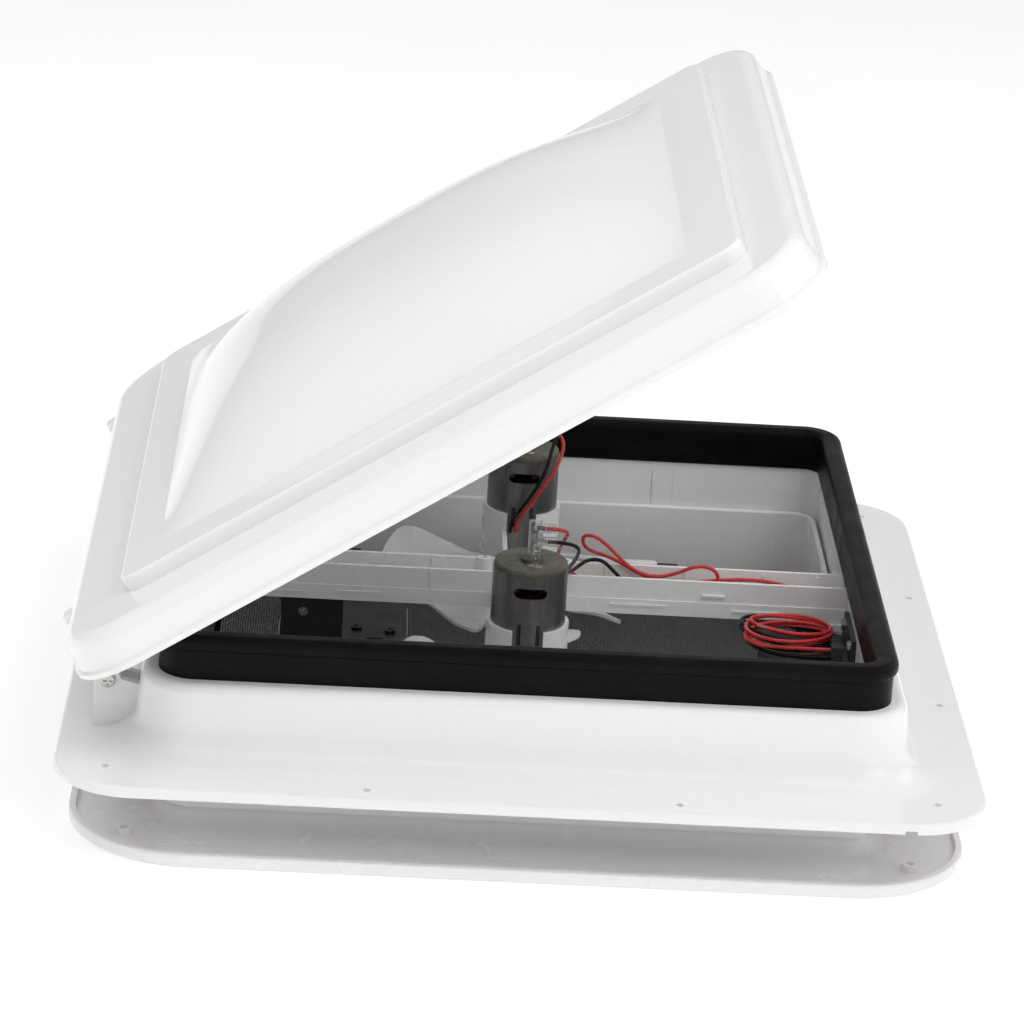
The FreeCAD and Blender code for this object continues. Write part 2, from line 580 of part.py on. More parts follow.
# ---------------------------------------------------------------- fans
def blade_grid(phase, dz, n=14, m=8):
    g = []
    for i in range(n + 1):
        s = i / n
        r = 10.5 + (FAN_R - 10.5) * (1 - (1 - s) ** 1.25)
        # the high edge is a straight line that misses the centre; the spread is in degrees, rounded off at the tip
        start = phase + math.degrees(math.asin(min(0.62, 16.7 / r)))
        wdt = 27.0 + 11.0 * s
        tip = max(0.0, (r - (FAN_R - 13.0)) / 13.0)
        shrink = 12.0 * (1 - math.sqrt(max(0.0, 1 - tip ** 2)))
        a0 = start + shrink * 0.6
        a1 = start + wdt - shrink * 1.2
        lo = FAN_Z_HIGH - (FAN_Z_HIGH - FAN_Z_LOW - 2.0) * (0.80 + 0.20 * s)
        row = []
        for j in range(m + 1):
            t = j / m
            a = math.radians(a0 + (a1 - a0) * t)
            tt = (math.degrees(a) - start) / wdt
            fall = min(1.0, max(0.0, tt)) ** 1.7
            z = FAN_Z_HIGH + (lo - FAN_Z_HIGH) * fall
            row.append(V(r * math.cos(a), r * math.sin(a), z + dz))
        g.append(row)
    return g

def make_fan(phase0):
    hub = fuse([cyl(13.0, 0, 0, -9.5, 13.0)])
    te = [e for e in hub.Edges if abs(e.BoundBox.ZMin + 9.5) < 1e-6 and abs(e.BoundBox.ZMax + 9.5) < 1e-6]
    hub = hub.makeFillet(3.0, te)
    hub = hub.cut([annulus(5.0, 11.0, 0, 0, -5.5, 14.0)])
    parts = [hub]
    for i in range(5):
        g1 = blade_grid(phase0 + 72 * i, 0.0)
        g2 = blade_grid(phase0 + 72 * i, -1.8)
        b = skin(g1, g2)
        b = b.cut([cyl(12.0, 0, 0, -20, 20)])
        parts.append(b)
    s = fuse(parts)
    s = s.cut([cyl(SHAFT_R, 0, 0, -7.5, 20)])
    return s

for n_, y_, ph in (("front", -MOTOR_Y, 49.5), ("rear", MOTOR_Y, 57.5)):
    f = make_fan(ph)
    f.translate(V(MOTOR_X, y_, 0))
    put("fan_%s" % n_, f)

# ---------------------------------------------------------------- screen
frame_ring = sq([(158.0, PAD_Z0), (167.8, PAD_Z0), (167.8, PAD_Z1), (161.2, PAD_Z1), (161.2, SCREEN_Z), (158.0, SCREEN_Z)],
                167.8, 9.8)
PAD = box(-126, -57, -6, 90, PAD_Z0, PAD_Z1)
SPOKE = box(-160, -125, 12, 40, PAD_Z0, PAD_Z1)
SW_X, SW_Y = -76.0, 62.0
pad_holes = [cyl(2.9, WORM_X, WORM_Y, PAD_Z0 - 1, PAD_Z1 + 1),
             box(SW_X - 6.6, SW_X + 6.6, SW_Y - 10.6, SW_Y + 10.6, PAD_Z0 - 1, PAD_Z1 + 1)]
OP_SCREWS = [(-84.4, 38.7), (-66.4, 36.0), (-111.5, 70.0)]
for x_, y_ in OP_SCREWS:
    pad_holes.append(cyl(1.3, x_, y_, PAD_Z0 - 1, PAD_Z1 + 1))
put("screen_frame", fuse([frame_ring, PAD, SPOKE]).cut(pad_holes))

mesh = rprism(161.0, 161.0, 3.0, SCREEN_Z, SCREEN_Z + 0.8)
mesh = mesh.cut([box(-126.2, -56.8, -6.2, 90.2, -31, -15), box(-162, -125, 11.8, 40.2, -31, -15)])
put("insect_screen", mesh)

clips = []
for s in (-1, 1):
    for t in (-90, 90):
        a, b = sorted((s * 163.5, s * TRIM_COLLAR_IN))
        clips.append(box(t - 6, t + 6, a, b, PAD_Z1, PAD_Z1 + 3))
        clips.append(box(a, b, t - 6, t + 6, PAD_Z1, PAD_Z1 + 3))
put("screen_clips", clips)

# ---------------------------------------------------------------- operator
def make_housing():
    base = box(-116, -58, 0, 85, PAD_Z1, HOUSE_TOP)
    base = base.makeFillet(3.0, [e for e in base.Edges if e.BoundBox.ZLength > 4])
    side = box(-125, -114, 10, 36, PAD_Z1, HOUSE_TOP)
    inner = box(-114, -60, 2, 83, PAD_Z1 - 1, HOUSE_TOP - 1.6)
    base = base.cut([inner])
    tower = box(-125, -92, 12.4, 30.5, -15.6, 17)
    tower = tower.makeFillet(1.5, [e for e in tower.Edges if abs(e.BoundBox.ZMin - 17) < 1e-6 and e.BoundBox.YMax < 13])
    add = [base, side, tower, cyl(5.5, WORM_X, WORM_Y, PAD_Z1, HOUSE_TOP)]
    for x, y in OP_SCREWS:
        add.append(cyl(4.0, x, y, PAD_Z1, HOUSE_TOP))
    add.append(box(-79, -70, 24, 27, HOUSE_TOP - 0.5, HOUSE_TOP + 1.2))
    s = fuse(add)
    cuts = [box(-130, -85, 15.0, 22.0, -3.5, 20),
            box(-123.5, -94.0, 21.0, 31.0, -12.0, 15.0),
            cyl(2.55, WORM_X, WORM_Y, PAD_Z1 - 1, -11),
            cyly(2.5, PIVOT_X, PIVOT_Z, 11, 16)]
    for x, y in OP_SCREWS:
        cuts.append(cyl(1.75, x, y, PAD_Z1 - 1, -12))
    return s.cut(cuts)
put("operator_housing", make_housing())

cover = box(-125, -92, 30.5, 33.0, -14, 17).cut([cyly(2.5, PIVOT_X, PIVOT_Z, 30, 34)])
put("operator_cover", cover)

ops = []
for x_, y_ in OP_SCREWS:
    s_ = fuse([cyl(3.0, x_, y_, HOUSE_TOP, HOUSE_TOP + 1.6), cyl(1.75, x_, y_, PAD_Z1, HOUSE_TOP), cyl(1.3, x_, y_, PAD_Z0 + 0.3, PAD_Z1)])
    s_ = s_.cut([box(x_ - 1.9, x_ + 1.9, y_ - 0.4, y_ + 0.4, -13.2, -12), box(x_ - 0.4, x_ + 0.4, y_ - 1.9, y_ + 1.9, -13.2, -12)])
    ops.append(s_)
put("operator_screws", ops)

put("arm_pivot_pin", fuse([cyly(2.5, PIVOT_X, PIVOT_Z, 12.4, 33.0), cyly(3.6, PIVOT_X, PIVOT_Z, 33.0, 34.6)]))

# worm shaft with its drive end below
worm = [cyl(2.5, WORM_X, WORM_Y, KNOB_Z0 + 3.0, 14.4)]
core = cyl(3.0, WORM_X, WORM_Y, -9.0, 13.0)
worm.append(core)
for i in range(8):
    worm.append(cyl(4.0, WORM_X, WORM_Y, -8.6 + 2.7 * i, -8.6 + 2.7 * i + 1.3))
ws = fuse(worm).cut([cyl(1.2, WORM_X, WORM_Y, KNOB_Z0, -26)])
put("worm_shaft", ws)

# lift arm: bar, hub and wheel in one moulding; built upright in its own
# plane along +X from the pivot and then turned
def make_arm():
    L = ARM_A
    bar = fuse([cyly(6.5, 0, 0, 16.5, 20.5), cyly(5.5, L, 0, 16.5, 20.5),
                poly_xz([(0, -5.6), (L, -4.6), (L, 4.6), (0, 5.6)], 16.5, 20.5)])
    groove = poly_xz([(14, -2.6), (L - 12, -1.9), (L - 12, 1.9), (14, 2.6)], 19.3, 21)
    bar = bar.cut([groove])
    wheel = cyly(9.0, 0, 0, 22.6, 29.4)
    cuts = []
    for i in range(24):
        a = 360.0 / 24 * i
        c = box(8.0, 9.6, -0.55, 0.55, 0, 1)
        c = box(8.0, 9.6, 22, 30, -0.55, 0.55)
        c.rotate(V(0, 0, 0), V(0, 1, 0), a)
        cuts.append(c)
    wheel = wheel.cut(cuts)
    hub = cyly(5.5, 0, 0, 20.0, 30.2)
    s = fuse([bar, hub, wheel])
    s = s.cut([cyly(2.55, 0, 0, 10, 35), cyly(2.0, L, 0, 10, 25)])
    s.rotate(V(0, 0, 0), V(0, -1, 0), ARM_DEG)
    s.translate(V(PIVOT_X, 0, PIVOT_Z))
    return s
put("lift_arm", make_arm())

RX = PIVOT_X + ARM_A * math.cos(math.radians(ARM_DEG))
RZ = PIVOT_Z + ARM_A * math.sin(math.radians(ARM_DEG))
put("arm_roller", cyly(4.0, RX, RZ, 12.8, 16.3).cut([cyly(2.05, RX, RZ, 12, 17)]))
put("roller_pin", fuse([cyly(2.0, RX, RZ, 12.2, 20.5), cyly(3.4, RX, RZ, 20.5, 22.0), cyly(3.0, RX, RZ, 11.9, 12.6)]))

# knob on the room side, recessed above the trim face
kn = cyl(15.0, WORM_X, WORM_Y, KNOB_Z0, KNOB_Z1)
kn = kn.makeFillet(2.0, [e for e in kn.Edges if abs(e.BoundBox.ZMin - KNOB_Z0) < 1e-6 and abs(e.BoundBox.ZMax - KNOB_Z0) < 1e-6])
sc = []
for i in range(8):
    a = math.radians(45 * i)
    sc.append(cyl(3.2, WORM_X + 16.6 * math.cos(a), WORM_Y + 16.6 * math.sin(a), KNOB_Z0 - 1, KNOB_Z1 + 1))
sc += [annulus(5.0, 12.0, WORM_X, WORM_Y, KNOB_Z0 + 3.0, KNOB_Z1 + 1), cyl(2.5, WORM_X, WORM_Y, KNOB_Z0 + 3.0, KNOB_Z1 + 1),
       cyl(1.2, WORM_X, WORM_Y, KNOB_Z0 - 1, KNOB_Z1), cyl(3.3, WORM_X, WORM_Y, KNOB_Z0 - 1, KNOB_Z0 + 1.6)]
put("knob", kn.cut(sc))
ks = fuse([cyl(3.0, WORM_X, WORM_Y, KNOB_Z0 + 0.1, KNOB_Z0 + 1.6), cyl(1.2, WORM_X, WORM_Y, KNOB_Z0 + 1.6, -26.0)])
put("knob_screw", ks.cut([box(WORM_X - 2, WORM_X + 2, WORM_Y - 0.4, WORM_Y + 0.4, KNOB_Z0 - 1, KNOB_Z0 + 0.8)]))

# ---------------------------------------------------------------- switch
SW_Z = -24.0
def make_switch():
    b = fuse([box(SW_X - 8.0, SW_X + 8.0, SW_Y - 12.0, SW_Y + 12.0, -26.0, PAD_Z0),
              box(SW_X - 6.5, SW_X + 6.5, SW_Y - 10.5, SW_Y + 10.5, PAD_Z0, -16.2)])
    return b.cut([box(SW_X - 4.9, SW_X + 4.9, SW_Y - 9.3, SW_Y + 9.3, -27, -18.2),
                  cylx(1.05, SW_Y, SW_Z, SW_X - 6.0, SW_X + 6.0)])
put("switch_body", make_switch())
def make_rocker():
    p = [(-8.6, 0.6), (-8.6, -3.6), (0, -2.2), (8.6, -3.6), (8.6, 0.6), (2.5, 2.8), (-2.5, 2.8)]
    w = Part.makePolygon([V(SW_X - 4.5, SW_Y + y, SW_Z + z) for y, z in p] + [V(SW_X - 4.5, SW_Y + p[0][0], SW_Z + p[0][1])])
    s = Part.Face(w).extrude(V(9.0, 0, 0))
    s = fuse([s, cylx(1.0, SW_Y, SW_Z, SW_X - 5.8, SW_X + 5.8)])
    s.rotate(V(SW_X, SW_Y, SW_Z), V(1, 0, 0), -9)
    return s
put("switch_rocker", make_rocker())

# ---------------------------------------------------------------- junction box
JX0, JX1, JY0, JY1 = 126.0, 166.5, -66.0, -24.0
WIRE_R = 1.0
GLAND_X = 160.0
COIL_X, COIL_Y, COIL_MID, COIL_W = 140.0, -42.0, 20.5, 4.0
jb = box(JX0, JX1, JY0, JY1, 2.0, 18.6)
jb = jb.makeFillet(2.5, [e for e in jb.Edges if e.BoundBox.ZLength > 10])
jb = jb.cut([box(JX0 + 2, JX1 - 2, JY0 + 2, JY1 - 2, 4.0, 19.0)])
put("junction_box", jb)
jc = fuse([box(JX0, DUCT_HALF, JY0, JY1, 18.6, 21.0), box(DUCT_HALF - 2.5, DUCT_HALF, JY0, JY1, 18.6, 34.0)])
jc = fuse([jc, box(GLAND_X, GLAND_X + 6, -66.0, -59.0, 21.0, 30.0)])
jc = jc.cut([cylx(1.75, -60, 29, 168, 174), cylx(1.75, -30, 29, 168, 174),
             cylx(WIRE_R, COIL_Y - COIL_MID, 23.0, GLAND_X - 1, GLAND_X + 4), cylx(WIRE_R, COIL_Y - COIL_MID, 27.5, GLAND_X - 1, GLAND_X + 4)])
put("junction_cover", jc)
js = []
for y_ in (-60, -30):
    js.append(fuse([cylx(3.0, y_, 29, DUCT_HALF - 4.3, DUCT_HALF - 2.5), cylx(1.75, y_, 29, DUCT_HALF - 2.5, DUCT_HALF),
                    cylx(1.45, y_, 29, DUCT_HALF, 175.4)]))
put("junction_screws", js)

# ---------------------------------------------------------------- sleeves
for n_, y_ in MOTORS.items():
    put("terminal_sleeves_%s" % n_, [make_sleeve(MOTOR_X + 1.5, y_ + s * 9.5) for s in (-1, 1)])

# ---------------------------------------------------------------- leads
# Each lead is straight runs joined by tangent arcs; an arc has 0.45 of its
# shorter run as tangent length.
def lead(name, pts, r=WIRE_R):
    P = [V(*p) for p in pts]
    n = len(P)
    runs = [P[i + 1].sub(P[i]).Length for i in range(n - 1)]
    edges = []
    cur = P[0]
    radii = []
    for i in range(1, n - 1):
        a = P[i - 1].sub(P[i]).normalize()
        b = P[i + 1].sub(P[i]).normalize()
        turn = math.pi - a.getAngle(b)
        t = 0.45 * min(runs[i - 1], runs[i])
        rad = t / math.tan(turn / 2)
        radii.append(round(rad, 1))
        p0 = P[i].add(V(a).multiply(t))
        p1 = P[i].add(V(b).multiply(t))
        bis = V(a).add(b).normalize()
        c = P[i].add(V(bis).multiply(math.hypot(t, rad)))
        m = c.add(V(bis).multiply(-rad))
        edges.append(Part.LineSegment(cur, p0).toShape())
        edges.append(Part.Arc(p0, m, p1).toShape())
        cur = p1
    edges.append(Part.LineSegment(cur, P[-1]).toShape())
    path = Part.Wire(edges)
    d = P[1].sub(P[0]).normalize()
    prof = Part.Wire([Part.Circle(P[0], d, r).toShape()])
    tube = path.makePipeShell([prof], True, True)
    want = math.pi * r * r * path.Length
    print("%-18s length %.1f runs %.0f-%.0f radii %s volume %.1f of %.1f" % (
        name, path.Length, min(runs), max(runs), radii, tube.Volume, want))
    put(name, tube)
    return path.Length

FRONT_RED = [(9.0, -76.0, 91.3), (17.0, -76.0, 91.3), (21.0, -69.5, 87.0), (18.5, -58.0, 77.5),
             (17.5, -42.0, 66.5), (18.0, -26.0, 56.5), (21.5, -12.0, 48.5), (29.0, -3.0, 38.5),
             (41.0, 1.0, 30.5), (56.0, 2.2, 28.0), (72.0, 1.5, 27.8), (87.0, 0.0, 28.6),
             (99.0, -1.0, 31.5), (105.5, -0.5, 38.5), (102.5, 0.0, 45.4), (92.5, 0.5, 46.3),
             (83.0, 1.0, 41.2), (72.0, 1.5, 38.0), (61.0, 2.2, 40.5), (53.0, 3.4, 46.7),
             (46.0, 4.8, 53.3), (38.5, 6.4, 58.2), (32.5, 7.8, 57.6), (32.5, 9.2, 52.0),
             (37.5, 9.7, 48.0), (46.0, 9.2, 46.0), (54.5, 7.8, 42.6), (64.0, 6.4, 37.4),
             (75.0, 5.8, 34.2), (90.0, 5.4, 34.5), (106.0, 4.6, 37.2), (122.0, 4.0, 38.6),
             (137.0, 3.8, 37.3), (147.0, 3.5, 34.5), (152.0, 2.0, 29.0), (152.0, 2.0, 22.2)]
FRONT_BLACK = [(9.0, -95.0, 91.3), (18.0, -95.0, 91.3), (25.5, -90.0, 87.5), (26.0, -77.0, 78.0),
               (23.0, -60.0, 65.0), (21.5, -41.0, 54.5), (23.0, -23.0, 47.0), (28.0, -10.5, 45.0),
               (34.5, -4.0, 48.3), (42.5, -2.5, 48.4), (50.0, -3.0, 41.5), (59.0, -3.8, 32.7),
               (73.0, -5.0, 27.4), (91.0, -5.5, 26.8), (109.0, -6.0, 26.8), (127.0, -5.5, 27.8),
               (140.5, -5.0, 31.5), (148.8, -4.2, 33.0), (152.0, -4.0, 28.0), (152.0, -4.0, 22.2)]
REAR_RED = [(9.0, 76.0, 91.3), (18.0, 76.0, 91.3), (23.0, 68.0, 86.5), (18.5, 61.0, 74.5),
            (10.5, 58.5, 62.0), (3.5, 59.0, 50.5), (-1.0, 62.0, 43.5), (-1.2, 63.7, 36.5)]
REAR_BLACK = [(9.0, 95.0, 91.3), (18.0, 95.0, 91.3), (23.5, 86.0, 94.5), (21.5, 75.0, 95.5), (16.5, 65.0, 88.5),
              (13.5, 58.0, 76.0), (7.5, 56.0, 63.0), (0.5, 57.8, 51.5), (-4.0, 61.5, 43.5), (-4.2, 63.7, 36.5)]
lead("lead_front_red", FRONT_RED)
lead("lead_front_black", FRONT_BLACK)
lead("lead_rear_red", REAR_RED)
lead("lead_rear_black", REAR_BLACK)

# clear splice in the slot of the rear cup
sp = box(-5.7, 0.4, 61.8, 65.6, 25.0, 36.5)
sp = sp.makeFillet(1.0, [e for e in sp.Edges if e.BoundBox.ZLength > 10])
put("rear_splice", sp)

# supply leads: short straight ends and the wound hank on the box cover
for nm, z0, z1, zc_ in (("black", 21.0, 25.0, 23.0), ("red", 25.0, 30.0, 27.5)):
    coil = annulus(COIL_MID - COIL_W, COIL_MID + COIL_W, COIL_X, COIL_Y, z0, z1)
    coil = coil.makeFillet(1.2, [e for e in coil.Edges if e.BoundBox.ZLength < 1e-6])
    coil = coil.cut([box(GLAND_X - 0.0, GLAND_X + 6, -66, -59, 20, 31)])
    put("supply_coil_" + nm, coil)
    tube = cylx(WIRE_R, COIL_Y - COIL_MID, zc_, COIL_X + 8, GLAND_X + 4).cut([coil])
    tube = [t for t in tube.Solids if t.BoundBox.XMax > GLAND_X][0]
    put("supply_lead_" + nm, tube)

# ---------------------------------------------------------------- write
os.makedirs("parts", exist_ok=True)
for f in os.listdir("parts"):
    if f.endswith(".step"):
        os.remove(os.path.join("parts", f))
for name, shape in OUT.items():
    ok = all(s.isValid() and s.isClosed() for s in shape.Solids)
    bb = shape.BoundBox
    print("%-26s solids %d valid %s vol %.1f  x %.1f %.1f y %.1f %.1f z %.1f %.1f" % (
        name, len(shape.Solids), ok, shape.Volume, bb.XMin, bb.XMax, bb.YMin, bb.YMax, bb.ZMin, bb.ZMax))
    shape.exportStep("parts/%s.step" % name)
print(len(OUT), "nodes")
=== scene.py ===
import bpy
import bmesh
import math
import random
from mathutils import Vector, Matrix


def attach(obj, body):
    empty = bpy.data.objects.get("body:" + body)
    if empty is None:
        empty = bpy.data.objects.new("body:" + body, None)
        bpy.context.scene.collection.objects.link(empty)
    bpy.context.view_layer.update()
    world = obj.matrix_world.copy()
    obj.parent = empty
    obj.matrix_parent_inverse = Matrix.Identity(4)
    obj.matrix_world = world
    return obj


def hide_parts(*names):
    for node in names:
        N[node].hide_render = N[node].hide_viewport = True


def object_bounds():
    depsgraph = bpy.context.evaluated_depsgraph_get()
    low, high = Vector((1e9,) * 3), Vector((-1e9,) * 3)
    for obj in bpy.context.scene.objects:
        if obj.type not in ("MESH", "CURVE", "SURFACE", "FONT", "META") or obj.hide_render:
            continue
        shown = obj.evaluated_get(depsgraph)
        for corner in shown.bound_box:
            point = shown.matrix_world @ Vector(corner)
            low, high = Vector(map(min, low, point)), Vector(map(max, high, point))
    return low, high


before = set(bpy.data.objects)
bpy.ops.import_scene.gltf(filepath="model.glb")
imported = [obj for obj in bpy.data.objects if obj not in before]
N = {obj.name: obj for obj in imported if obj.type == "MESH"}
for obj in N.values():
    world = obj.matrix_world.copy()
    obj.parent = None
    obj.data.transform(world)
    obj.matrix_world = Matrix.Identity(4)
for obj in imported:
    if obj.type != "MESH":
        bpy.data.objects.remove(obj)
cad_lo, cad_hi = [list(v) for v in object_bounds()]
scene = bpy.context.scene
MM = 0.001


def P(x, y, z):
    return Vector((x * MM, y * MM, z * MM))


# ------------------------------------------------------------------ camera
fwd = Vector((0.03480, 0.93807, -0.34468)).normalized()
right0 = fwd.cross(Vector((0, 0, 1))).normalized()
up0 = right0.cross(fwd)
roll = math.radians(3.58)
right = right0 * math.cos(roll) + up0 * math.sin(roll)
up = up0 * math.cos(roll) - right0 * math.sin(roll)
cam_data = bpy.data.cameras.new("camera")
cam = bpy.data.objects.new("camera", cam_data)
scene.collection.objects.link(cam)
rot = Matrix((right, up, -fwd)).transposed().to_4x4()
cam.matrix_world = Matrix.Translation(P(-83.706, -2092.942, 840.417)) @ rot
cam_data.lens = 149.77
cam_data.sensor_width = 36.0
cam_data.clip_start = 0.05
cam_data.clip_end = 20.0
scene.camera = cam
scene.view_settings.view_transform = "Standard"


# ------------------------------------------------------------------ materials
class Mat:
    """A node material in object space, which is the row frame in metres."""

    def __init__(self, name):
        self.m = bpy.data.materials.new(name)
        self.m.use_nodes = True
        self.t = self.m.node_tree
        self.n = self.t.nodes
        self.l = self.t.links
        self.b = [x for x in self.n if x.type == "BSDF_PRINCIPLED"][0]
        self.out = [x for x in self.n if x.type == "OUTPUT_MATERIAL"][0]
        self.co = self.n.new("ShaderNodeTexCoord").outputs["Object"]

    def set(self, **kw):
        for k, v in kw.items():
            self.b.inputs[k.replace("_", " ")].default_value = v
        return self

    def noise(self, scale, detail=3.0, rough=0.55, stretch=None, dist=0.0):
        co = self.co
        if stretch:
            mp = self.n.new("ShaderNodeMapping")
            mp.inputs["Scale"].default_value = stretch
            self.l.new(co, mp.inputs["Vector"])
            co = mp.outputs["Vector"]
        t = self.n.new("ShaderNodeTexNoise")
        t.inputs["Scale"].default_value = scale
        t.inputs["Detail"].default_value = detail
        t.inputs["Roughness"].default_value = rough
        t.inputs["Distortion"].default_value = dist
        self.l.new(co, t.inputs["Vector"])
        return t.outputs["Fac"]

    def cells(self, scale, feature="F1", stretch=None):
        co = self.co
        if stretch:
            mp = self.n.new("ShaderNodeMapping")
            mp.inputs["Scale"].default_value = stretch
            self.l.new(co, mp.inputs["Vector"])
            co = mp.outputs["Vector"]
        t = self.n.new("ShaderNodeTexVoronoi")
        t.feature = feature
        t.inputs["Scale"].default_value = scale
        self.l.new(co, t.inputs["Vector"])
        return t.outputs["Distance"]

    def ramp(self, fac, stops):
        r = self.n.new("ShaderNodeValToRGB")
        e = r.color_ramp.elements
        while len(e) < len(stops):
            e.new(0.5)
        for i, (p, c) in enumerate(stops):
            e[i].position = p
            e[i].color = (*c, 1.0) if len(c) == 3 else c
        self.l.new(fac, r.inputs["Fac"])
        return r.outputs["Color"]

    def range(self, fac, lo, hi, a=0.3, b=0.7):
        r = self.n.new("ShaderNodeMapRange")
        r.inputs["From Min"].default_value = a
        r.inputs["From Max"].default_value = b
        r.inputs["To Min"].default_value = lo
        r.inputs["To Max"].default_value = hi
        self.l.new(fac, r.inputs["Value"])
        return r.outputs["Result"]

    def math(self, op, a, b):
        m = self.n.new("ShaderNodeMath")
        m.operation = op
        for i, v in enumerate((a, b)):
            if isinstance(v, (int, float)):
                m.inputs[i].default_value = v
            else:
                self.l.new(v, m.inputs[i])
        return m.outputs["Value"]

    def mix(self, fac, a, b, mode="MIX"):
        m = self.n.new("ShaderNodeMix")
        m.data_type = "RGBA"
        m.blend_type = mode
        if isinstance(fac, (int, float)):
            m.inputs["Factor"].default_value = fac
        else:
            self.l.new(fac, m.inputs["Factor"])
        for i, v in ((6, a), (7, b)):
            if isinstance(v, tuple):
                m.inputs[i].default_value = (*v, 1.0) if len(v) == 3 else v
            else:
                self.l.new(v, m.inputs[i])
        return m.outputs[2]

    def color(self, c):
        self.l.new(c, self.b.inputs["Base Color"])
        return self

    def rough(self, c):
        self.l.new(c, self.b.inputs["Roughness"])
        return self

    def bump(self, h, strength=0.2, dist=0.0002):
        b = self.n.new("ShaderNodeBump")
        b.inputs["Strength"].default_value = strength
        b.inputs["Distance"].default_value = dist
        self.l.new(h, b.inputs["Height"])
        self.l.new(b.outputs["Normal"], self.b.inputs["Normal"])
        return self


def scaled(c, k):
    return tuple(min(1.0, x * k) for x in c)


def white_plastic(name, col, r0, r1, sss=0.0, coat=0.0, peel=0.10, vary=0.985):
    m = Mat(name)
    tone = m.noise(7.0, 4.0)
    c = m.ramp(tone, [(0.30, scaled(col, vary)), (0.72, col)])
    fine = m.ramp(m.noise(210.0, 3.0, 0.6), [(0.30, (0.988, 0.986, 0.984)), (0.60, (1, 1, 1))])
    m.color(m.mix(1.0, c, fine, "MULTIPLY"))
    m.rough(m.range(m.noise(38.0, 5.0), r0, r1))
    m.bump(m.noise(160.0, 2.0, 0.45), peel, 0.00025)
    m.set(IOR=1.49)
    if sss:
        m.b.inputs["Subsurface Weight"].default_value = sss
        m.b.inputs["Subsurface Radius"].default_value = (1.0, 0.97, 0.92)
        m.b.inputs["Subsurface Scale"].default_value = 0.006
    if coat:
        m.b.inputs["Coat Weight"].default_value = coat
        m.b.inputs["Coat Roughness"].default_value = 0.04
    return m.m


def black_plastic(name, col, r0, r1, grain=900.0, strength=0.35):
    m = Mat(name)
    c = m.ramp(m.noise(24.0, 5.0), [(0.3, scaled(col, 0.75)), (0.7, scaled(col, 1.4))])
    dust = m.ramp(m.noise(230.0, 4.0, 0.7), [(0.62, (0, 0, 0)), (0.80, (0.022, 0.0215, 0.020))])
    m.color(m.mix(1.0, c, dust, "ADD"))
    m.rough(m.range(m.noise(60.0, 4.0), r0, r1))
    m.bump(m.noise(grain, 2.0, 0.6), strength, 0.00012)
    return m.m


def metal(name, dark, light, r0, r1, scale=60.0, spots=0.4, metallic=1.0, stretch=None, bump=0.15):
    m = Mat(name)
    c = m.ramp(m.noise(scale, 6.0, 0.65, stretch), [(0.28, dark), (0.72, light)])
    mott = m.ramp(m.cells(scale * 4.2, "SMOOTH_F1"), [(0.1, (1, 1, 1)), (0.75, (0.74, 0.74, 0.74))])
    m.color(m.mix(spots, c, mott, "MULTIPLY"))
    m.rough(m.range(m.noise(scale * 2.2, 5.0, 0.6, stretch), r0, r1))
    m.bump(m.noise(scale * 9.0, 3.0, 0.6, stretch), bump, 0.00008)
    m.set(Metallic=metallic)
    return m.m


def clear_vinyl(name):
    m = Mat(name)
    c = m.ramp(m.noise(90.0, 3.0), [(0.3, (0.86, 0.87, 0.86)), (0.7, (0.97, 0.975, 0.97))])
    m.color(c)
    m.rough(m.range(m.noise(140.0, 4.0), 0.04, 0.16))
    m.bump(m.noise(260.0, 2.0), 0.25, 0.0003)
    m.b.inputs["Alpha"].default_value = 0.42
    m.b.inputs["Transmission Weight"].default_value = 0.93
    m.b.inputs["IOR"].default_value = 1.22
    m.b.inputs["Specular IOR Level"].default_value = 0.9
    return m.m


def pvc(name, col):
    m = Mat(name)
    c = m.ramp(m.noise(120.0, 4.0), [(0.28, scaled(col, 0.80)), (0.70, scaled(col, 1.08))])
    m.color(c)
    m.rough(m.range(m.noise(220.0, 4.0), 0.20, 0.36))
    m.bump(m.noise(700.0, 2.0), 0.18, 0.00006)
    m.b.inputs["Coat Weight"].default_value = 0.25
    m.b.inputs["Coat Roughness"].default_value = 0.12
    return m.m


M = {}
M["lid"] = white_plastic("lid_acrylic", (0.925, 0.93, 0.93), 0.07, 0.12, sss=0.10, coat=0.5, peel=0.04)
M["flange"] = white_plastic("flange_abs", (0.895, 0.885, 0.885), 0.14, 0.24, coat=0.2, peel=0.07)
M["trim"] = white_plastic("trim_abs", (0.885, 0.87, 0.868), 0.18, 0.30, peel=0.08)
M["beam"] = white_plastic("beam_abs", (0.85, 0.84, 0.84), 0.22, 0.36, peel=0.08)
M["arm"] = white_plastic("arm_nylon", (0.78, 0.775, 0.765), 0.30, 0.45, peel=0.12)
M["fan"] = white_plastic("fan_pp", (0.86, 0.87, 0.865), 0.22, 0.34, sss=0.25, peel=0.10)
M["knob"] = white_plastic("knob_abs", (0.83, 0.82, 0.81), 0.22, 0.34, peel=0.10)

g = Mat("gasket_rubber")
scuff = g.noise(30.0, 6.0, 0.7, (1.0, 1.0, 3.0))
g.color(g.mix(g.range(g.noise(11.0, 5.0, 0.65), 0.0, 1.0, 0.48, 0.78),
              g.ramp(scuff, [(0.35, (0.0022, 0.0022, 0.0023)), (0.75, (0.0058, 0.0058, 0.006))]),
              g.ramp(g.noise(420.0, 3.0, 0.7), [(0.40, (0.004, 0.004, 0.004)), (0.75, (0.013, 0.013, 0.0127))])))
g.rough(g.range(g.noise(46.0, 5.0, 0.6), 0.34, 0.50))
g.bump(g.noise(520.0, 3.0, 0.55), 0.22, 0.00010)
g.b.inputs["Specular IOR Level"].default_value = 0.09
M["gasket"] = g.m

